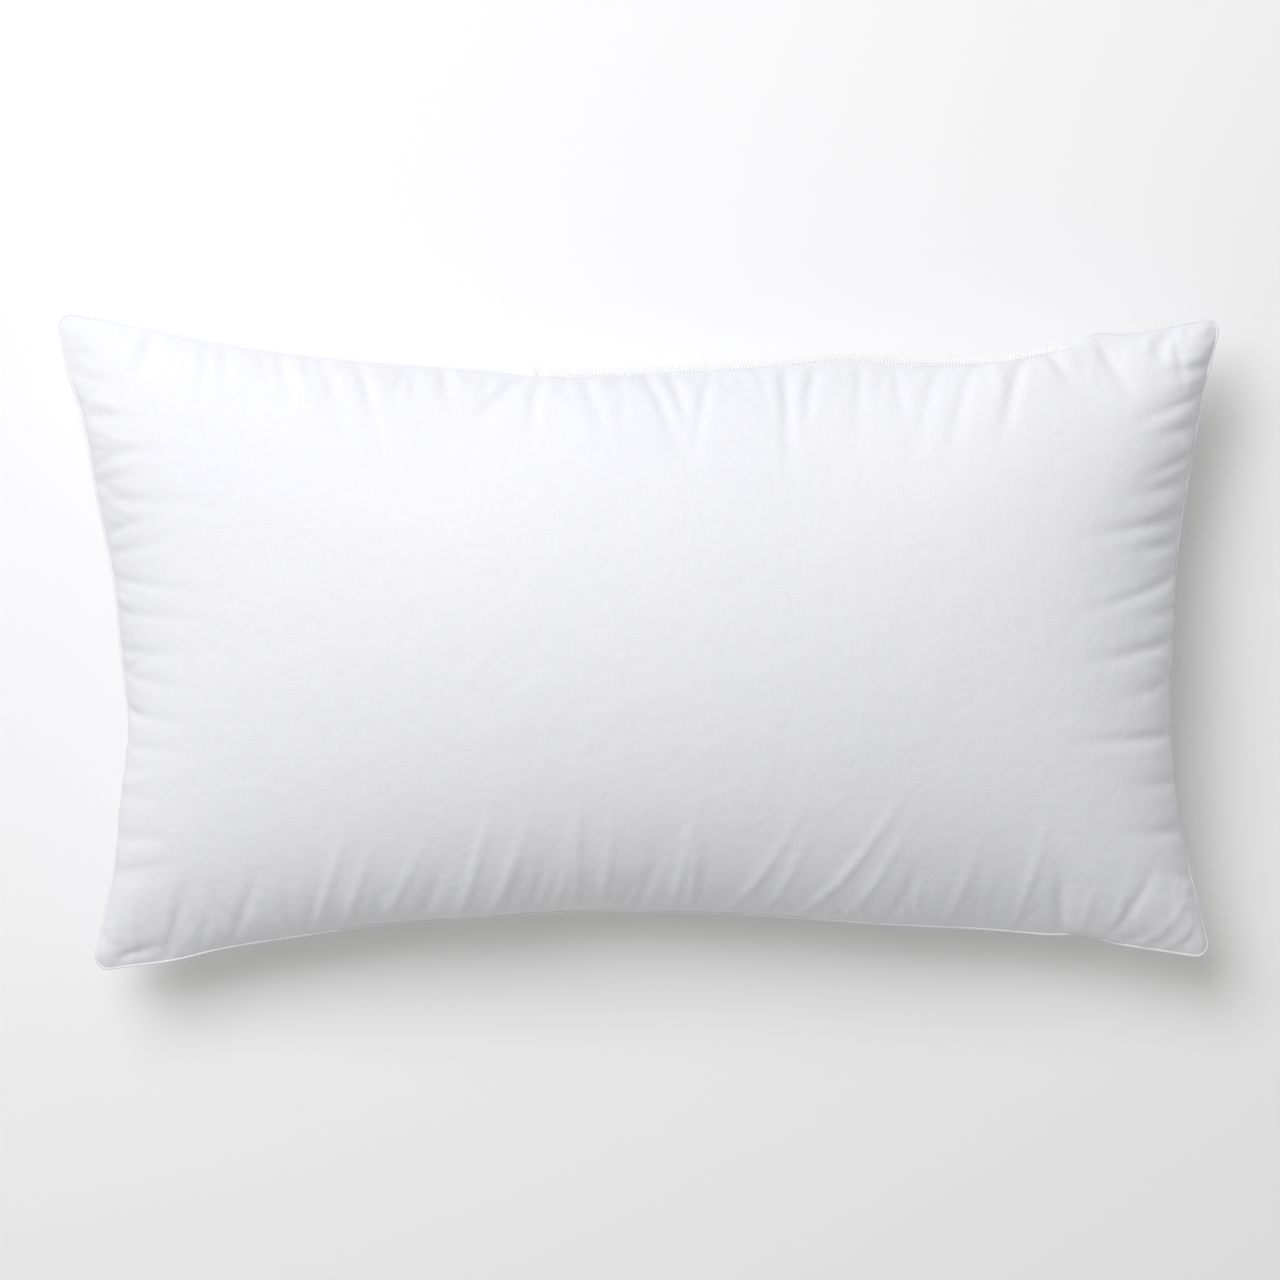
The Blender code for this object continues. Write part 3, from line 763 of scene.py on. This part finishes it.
def woven_cotton(name, base, shade, yarn):
    """Plain-weave cotton: crossed yarns and slubs along the cut, faint crumples, patchy whiteness, and
    painted shade in the gaps between the yarns.

    The weave is the product of two sines, `yarn` apart. Past the cut's far edge lie the closing plies,
    painted whiter than the same cotton as painted light.
    """
    n = Nodes(name)
    cut = n.add("ShaderNodeUVMap", uv_map="cut").outputs[0]
    place = n.add("ShaderNodeTexCoord").outputs["Object"]
    split = n.add("ShaderNodeSeparateXYZ", {0: cut})
    warp = n.math("SINE", n.math("MULTIPLY", split.outputs[0], math.pi / yarn))
    weft = n.math("SINE", n.math("MULTIPLY", split.outputs[1], math.pi / yarn))
    weave = n.math("MULTIPLY", warp, weft)
    slub_x = n.noise(n.scaled(cut, 60.0, 800.0), 1.0, 2.0)
    slub_y = n.noise(n.scaled(cut, 800.0, 60.0), 1.0, 2.0)
    slubs = n.math("ADD", slub_x, slub_y)
    crumple = n.noise(place, 95.0, 3.0, 0.55)
    soft = n.noise(place, 26.0, 2.0, 0.5)
    normal = n.bump(soft, 0.25, 0.004)
    normal = n.bump(crumple, 0.35, 0.0012, normal)
    normal = n.bump(slubs, 0.40, 0.00012, normal)
    normal = n.bump(weave, 0.30, 0.00008, normal)
    patch = n.noise(place, 5.0, 3.0, 0.5)
    white = n.blend(n.math("MULTIPLY", n.math("SUBTRACT", patch, 0.25), 1.1), base, shade)
    # Past the cut's far edge the plies take the whiter colour: painted light on the same cotton.
    turned = n.math("GREATER_THAN", split.outputs[1], sizes().cut_width / 2 + sizes().cloth_thickness)
    white = n.blend(turned, white, colours().closing_ply_painted_light)
    # Painted shade in the gaps between the crossed yarns, and slub streaks of the yarn's own tone.
    painted_gap_shade = n.math("MULTIPLY", n.math("ADD", n.math("MULTIPLY", weave, 0.5), 0.5), 0.05)
    streaks = n.math("MULTIPLY", n.math("SUBTRACT", slubs, 0.75), 0.22)
    white = n.blend(n.math("ADD", painted_gap_shade, streaks), white, colours().gap_shade_and_slub_tone, "MULTIPLY")
    n.put(n.shader, "Base Color", white)
    n.put(n.shader, "Roughness", n.math("ADD", n.math("MULTIPLY", slubs, 0.08), 0.70))
    n.put(n.shader, "Normal", normal)
    n.shader.inputs["Specular IOR Level"].default_value = 0.35
    n.shader.inputs["Sheen Weight"].default_value = 0.12
    n.shader.inputs["Sheen Roughness"].default_value = 0.45
    return n.material


def twisted_thread(name, base, twist):
    """Spun thread: slanting plies from a sine across its length and girth, darkened between them as painted
    shade, with a faint fuzz.
    """
    n = Nodes(name)
    cut = n.add("ShaderNodeUVMap", uv_map="cut").outputs[0]
    place = n.add("ShaderNodeTexCoord").outputs["Object"]
    split = n.add("ShaderNodeSeparateXYZ", {0: cut})
    slant = n.math("ADD", split.outputs[0], n.math("MULTIPLY", split.outputs[1], 0.9))
    plies = n.math("SINE", n.math("MULTIPLY", slant, 2 * math.pi / twist))
    fuzz = n.noise(place, 2600.0, 2.0, 0.6)
    normal = n.bump(plies, 0.5, 0.00006)
    normal = n.bump(fuzz, 0.2, 0.00004, normal)
    # Painted shade in the grooves between the plies.
    painted_hollow_shade = (base[0] * 0.8, base[1] * 0.8, base[2] * 0.82)
    white = n.blend(n.math("MULTIPLY", n.math("ADD", plies, 1.0), 0.06), base, painted_hollow_shade)
    n.put(n.shader, "Base Color", white)
    n.put(n.shader, "Roughness", n.math("ADD", n.math("MULTIPLY", fuzz, 0.15), 0.5))
    n.put(n.shader, "Normal", normal)
    n.shader.inputs["Sheen Weight"].default_value = 0.1
    return n.material


def loose_fibre(name, base):
    """Loose filling: soft clumps over fine fibres, both from noise, darker between the clumps as painted
    shade.
    """
    n = Nodes(name)
    place = n.add("ShaderNodeTexCoord").outputs["Object"]
    clumps = n.noise(place, 38.0, 4.0, 0.6)
    fibres = n.noise(n.scaled(place, 900.0, 180.0, 400.0), 1.0, 3.0, 0.7)
    normal = n.bump(clumps, 0.7, 0.010)
    normal = n.bump(fibres, 0.5, 0.0010, normal)
    # Painted shade in the hollows between the clumps.
    painted_hollow_shade = (base[0] * 0.82, base[1] * 0.82, base[2] * 0.80)
    n.put(n.shader, "Base Color", n.blend(clumps, painted_hollow_shade, base))
    n.put(n.shader, "Roughness", n.math("ADD", n.math("MULTIPLY", fibres, 0.1), 0.85))
    n.put(n.shader, "Normal", normal)
    n.shader.inputs["Sheen Weight"].default_value = 0.3
    return n.material


# ---------------------------------------------------------------- operators


def closing_frame(step):
    """Base line of the closing seam with its outward and upward directions.

    The plies droop from level, by an angle that wanders as a slow sine along the seam.
    """
    u = np.linspace(CLOSING_LOW[0] / HALF_LENGTH, CLOSING_HIGH[0] / HALF_LENGTH, 900)
    base = even_path(seam_points(u, np.ones_like(u)), step)
    level = outset_of(base)
    lean = -0.30 + 0.10 * np.sin(base[:, :1] * 31.0 + 0.4)
    outward_way = level * np.cos(lean) + UPRIGHT * np.sin(lean)
    upward_way = UPRIGHT * np.cos(lean) - level * np.sin(lean)
    return base, outward_way, upward_way


def panel_piece(name, side, material):
    """One stuffed panel with its closing ply, which is more rows of cloth.

    They run out from the seam along the ply's droop. Their reach eases in at both ends by the smooth step.
    """
    s = sizes()
    cloth = stuffed()[side]
    columns, rows = cloth.shape[:2]
    flat = cut_cloth(columns - 1, rows - 1)
    rim = cloth[:, -1]
    margin = 0.003
    past_start = rim[:, 0] > CLOSING_LOW[0] - margin
    before_end = rim[:, 0] < CLOSING_HIGH[0] + margin
    closing = np.flatnonzero(past_start & before_end)
    base, out_way, _ = closing_frame(RIM_STEP)
    out_way = np.stack([np.interp(rim[closing, 0], base[:, 0], out_way[:, k]) for k in range(3)], axis=-1)
    reach = np.linspace(0.0, s.closing_width, PLY_ROWS + 1)[1:]
    column = np.arange(len(closing))
    taper = smooth_step((np.minimum(column, column[::-1]) + 1.0) / PLY_TAPER)
    ply = rim[closing][:, None] + (reach[None, :] * taper[:, None])[..., None] * out_way[:, None]
    ply_flat = flat[closing, -1][:, None] + reach[None, :, None] * (0.0, 1.0)
    ply_index = columns * rows + np.arange(len(closing) * PLY_ROWS).reshape(-1, PLY_ROWS)
    index = np.concatenate([(closing * rows + rows - 1)[:, None], ply_index], axis=1)
    flip = side == 1
    faces = np.concatenate(
        [grid_quads(columns, rows, flip), index.ravel()[grid_quads(len(closing), PLY_ROWS + 1, flip)]]
    )
    points = np.concatenate([cloth.reshape(-1, 3), ply.reshape(-1, 3)])
    cut_places = np.concatenate([flat.reshape(-1, 2), ply_flat.reshape(-1, 2)])
    piece = make_piece(name, points, faces.tolist(), material, cut_places)
    wall = piece.modifiers.new("cloth thickness", "SOLIDIFY")
    wall.thickness = s.cloth_thickness
    wall.offset = -1.0
    wall.use_rim = True
    return piece


class PILLOW_OT_panels(bpy.types.Operator):
    """Stuffs and adds the two cotton panels"""

    bl_idname = "pillow.panels"
    bl_label = "Cotton Panels"

    def execute(self, context):
        c = colours()
        cotton = woven_cotton("cotton percale", c.cotton, c.cotton_shade, yarn=0.0005)
        for side, name in enumerate(("front_panel", "back_panel")):
            piece = panel_piece(name + "_cloth", side, cotton)
            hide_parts(name)
        return {"FINISHED"}


class PILLOW_OT_filling(bpy.types.Operator):
    """Adds the loose filling inside the shell"""

    bl_idname = "pillow.filling"
    bl_label = "Loose Filling"

    def execute(self, context):
        # Each round moves every point a third of its weight to itself and a sixth to each of its neighbours
        cloth = stuffed()[:, ::2, ::2].copy()
        for _ in range(FILLING_ROUNDS):
            inner = cloth[:, 1:-1, 1:-1]
            lengthways = cloth[:, 2:, 1:-1] + cloth[:, :-2, 1:-1]
            crossways = cloth[:, 1:-1, 2:] + cloth[:, 1:-1, :-2]
            cloth[:, 1:-1, 1:-1] = (inner * 2 + lengthways + crossways) / 6
        middle = UPRIGHT * SEAM_HEIGHT
        inside = middle + (cloth[:, 1:-1, 1:-1] - middle) * FILLING_SHARE
        halfway = inside.mean(axis=0, keepdims=True)
        for edge in RIM:
            inside[edge] = halfway[edge]
        columns, rows = inside.shape[1:3]
        front = grid_quads(columns, rows)
        back = grid_quads(columns, rows, flip=True) + columns * rows
        faces = np.concatenate([front, back]).tolist()
        fibre = loose_fibre("loose filling", colours().filling)
        piece = make_piece("loose_filling_wadding", inside.reshape(-1, 3), faces, fibre)
        weld = piece.modifiers.new("join the halves", "WELD")
        weld.merge_threshold = 0.00005
        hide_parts("loose_filling")
        return {"FINISHED"}


class PILLOW_OT_corded_edge(bpy.types.Operator):
    """Adds the corded edge, its cord, and the seam threads behind it"""

    bl_idname = "pillow.corded_edge"
    bl_label = "Corded Edge"

    def execute(self, context):
        s = sizes()
        c = colours()
        seam = even_path(seam_points(*corded_positions()), EDGE_STEP)
        away = outset_of(seam)
        middle = seam + away * s.piping_radius * 0.55
        cotton = woven_cotton("piping cotton", c.cotton, c.cotton, yarn=0.0004)
        strip = make_tube("edge_piping_cloth", middle, s.piping_radius, 12, UPRIGHT, cotton)
        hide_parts("edge_piping_strip")
        cord_yarn = twisted_thread("piping cord", c.thread, twist=0.002)
        cord = make_tube("edge_piping_core", middle, s.cord_radius, 6, UPRIGHT, cord_yarn)
        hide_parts("edge_piping_cord")
        seam_thread = twisted_thread("seam thread", c.thread, twist=0.0009)
        for name, node, level in (
            ("edge_needle_stitches", "edge_seam_needle_thread", SEAM_SPREAD),
            ("edge_bobbin_stitches", "edge_seam_bobbin_thread", -SEAM_SPREAD),
        ):
            line = seam - away * SEAM_INSET + UPRIGHT * level
            thread = make_tube(name, line, s.seam_thread_radius, 6, UPRIGHT, seam_thread)
            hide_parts(node)
        return {"FINISHED"}


class PILLOW_OT_closing_seam(bpy.types.Operator):
    """Adds the overlock threads of the closing seam"""

    bl_idname = "pillow.closing_seam"
    bl_label = "Closing Seam"

    def execute(self, context):
        s = sizes()
        base, out_way, up_way = closing_frame(s.stitch_pitch / STITCH_POINTS)
        along = np.gradient(base, axis=0)
        along /= np.linalg.norm(along, axis=1, keepdims=True)
        stitch = np.arange(len(base)) / STITCH_POINTS
        outer = s.closing_width + s.thread_radius
        lift = s.piping_radius * 0.28 + s.thread_radius
        yarn = twisted_thread("overlock thread", colours().thread, twist=0.0009)

        # Each looper swings between the seam and the edge once a stitch, and lies lower where it turns there
        for name, side, phase in (
            ("closing_upper_looper_stitches", 1.0, 0.0),
            ("closing_lower_looper_stitches", -1.0, 0.5),
        ):
            swing = np.abs(((stitch + phase) % 1.0) * 2.0 - 1.0)
            across = STITCH_START + (outer - STITCH_START) * smooth_step((swing - 0.5) * 1.6 + 0.5)
            over_edge = smooth_step((across - (outer - EDGE_TURN)) / EDGE_TURN)
            height = side * lift * (1.0 - 0.75 * over_edge)
            path = base + across[:, None] * out_way + height[:, None] * up_way
            piece = make_tube(name, path, s.thread_radius, 6, along, yarn)
            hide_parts(name.replace("stitches", "thread"))

        # The needle thread rises once a stitch, as the size of a sine
        hop = np.abs(np.sin(stitch * math.pi))
        height = lift + s.thread_radius * (1.6 * hop - 0.6)
        path = base + (STITCH_START - 0.0002) * out_way + height[:, None] * up_way
        piece = make_tube("closing_needle_stitches", path, s.thread_radius, 6, UPRIGHT, yarn)
        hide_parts("closing_needle_thread")
        return {"FINISHED"}


def add_light(name, place, target, power, size, tint):
    """A square soft light aimed at a point."""
    lamp = bpy.data.lights.new(name, "AREA")
    lamp.energy = power
    lamp.size = size
    lamp.color = tint
    light = bpy.data.objects.new(name, lamp)
    light.location = place
    light.rotation_euler = (Vector(target) - Vector(place)).to_track_quat("-Z", "Y").to_euler()
    bpy.context.scene.collection.objects.link(light)


def add_floor(half, colour):
    """A square floor under the pillow, twice `half` wide."""
    corners = [[-half, -half, 0.0], [half, -half, 0.0], [half, half, 0.0], [-half, half, 0.0]]
    mesh = bpy.data.meshes.new("studio floor")
    mesh.from_pydata(corners, [], [[0, 1, 2, 3]])
    n = Nodes("pale floor")
    n.shader.inputs["Base Color"].default_value = (*colour, 1.0)
    n.shader.inputs["Roughness"].default_value = 0.9
    mesh.materials.append(n.material)
    floor = bpy.data.objects.new("studio_floor", mesh)
    bpy.context.scene.collection.objects.link(floor)


def add_camera(target, distance, lens, tilt, swing, roll):
    """A camera over `target`, tilted from the upright towards +Y, swung towards -X, then rolled."""
    back = Vector((-math.sin(swing), math.sin(tilt) * math.cos(swing), math.cos(tilt) * math.cos(swing)))
    right = Vector((0.0, 1.0, 0.0)).cross(back).normalized()
    up = back.cross(right)
    turned_right = right * math.cos(roll) + up * math.sin(roll)
    turned_up = up * math.cos(roll) - right * math.sin(roll)
    data = bpy.data.cameras.new("overhead camera")
    data.sensor_width = 36.0
    data.lens = lens
    camera = bpy.data.objects.new("overhead_camera", data)
    axes = Matrix((turned_right, turned_up, back)).transposed().to_4x4()
    camera.matrix_world = Matrix.Translation(target + back * distance) @ axes
    bpy.context.scene.collection.objects.link(camera)
    bpy.context.scene.camera = camera


class PILLOW_OT_stage(bpy.types.Operator):
    """Adds the floor, the soft light, the sky's light and the camera over the pillow"""

    bl_idname = "pillow.stage"
    bl_label = "Studio Stage"

    def execute(self, context):
        scene = context.scene
        add_floor(half=6.0, colour=colours().floor)
        world = bpy.data.worlds.new("studio air")
        world.use_nodes = True
        air = world.node_tree.nodes["Background"]
        air.inputs["Color"].default_value = (0.995, 0.995, 0.965, 1.0)
        air.inputs["Strength"].default_value = 0.44
        scene.world = world
        add_light(
            "key light",
            place=(-0.95, 1.5, 2.4),
            target=(0.0, 0.0, 0.1),
            power=60.0,
            size=1.6,
            tint=(0.98, 0.98, 1.02),
        )
        add_camera(
            target=Vector((-0.0062, 0.0044, SEAM_HEIGHT)),
            distance=2.2,
            lens=80.4,
            tilt=math.radians(7.9),
            swing=math.radians(1.1),
            roll=math.radians(-0.27),
        )
        scene.view_settings.view_transform = "Standard"
        return {"FINISHED"}


OPERATORS = (
    PILLOW_OT_panels,
    PILLOW_OT_filling,
    PILLOW_OT_corded_edge,
    PILLOW_OT_closing_seam,
    PILLOW_OT_stage,
)


class PILLOW_PT_pieces(bpy.types.Panel):
    """Lists the pillow's pieces and sizes"""

    bl_idname = "PILLOW_PT_pieces"
    bl_label = "Bed Pillow"
    bl_space_type = "VIEW_3D"
    bl_region_type = "UI"
    bl_category = "Pillow"

    def draw(self, context):
        for operator in OPERATORS:
            self.layout.operator(operator.bl_idname)
        for group in (sizes(), colours()):
            box = self.layout.box()
            for key in group.bl_rna.properties.keys():
                if key not in {"rna_type", "name"}:
                    box.prop(group, key)


CLASSES = (PillowSizes, PillowColours, *OPERATORS, PILLOW_PT_pieces)


def register():
    """Registers the classes and adds the two groups to the scene."""
    for kind in CLASSES:
        bpy.utils.register_class(kind)
    bpy.types.Scene.pillow_sizes = PointerProperty(type=PillowSizes)
    bpy.types.Scene.pillow_colours = PointerProperty(type=PillowColours)


def unregister():
    """Takes the two groups off the scene and unregisters the classes."""
    del bpy.types.Scene.pillow_colours
    del bpy.types.Scene.pillow_sizes
    for kind in reversed(CLASSES):
        bpy.utils.unregister_class(kind)


def main():
    """Makes every piece."""
    register()
    bpy.ops.pillow.panels()
    bpy.ops.pillow.filling()
    bpy.ops.pillow.corded_edge()
    bpy.ops.pillow.closing_seam()
    bpy.ops.pillow.stage()


if __name__ == "__main__":
    main()
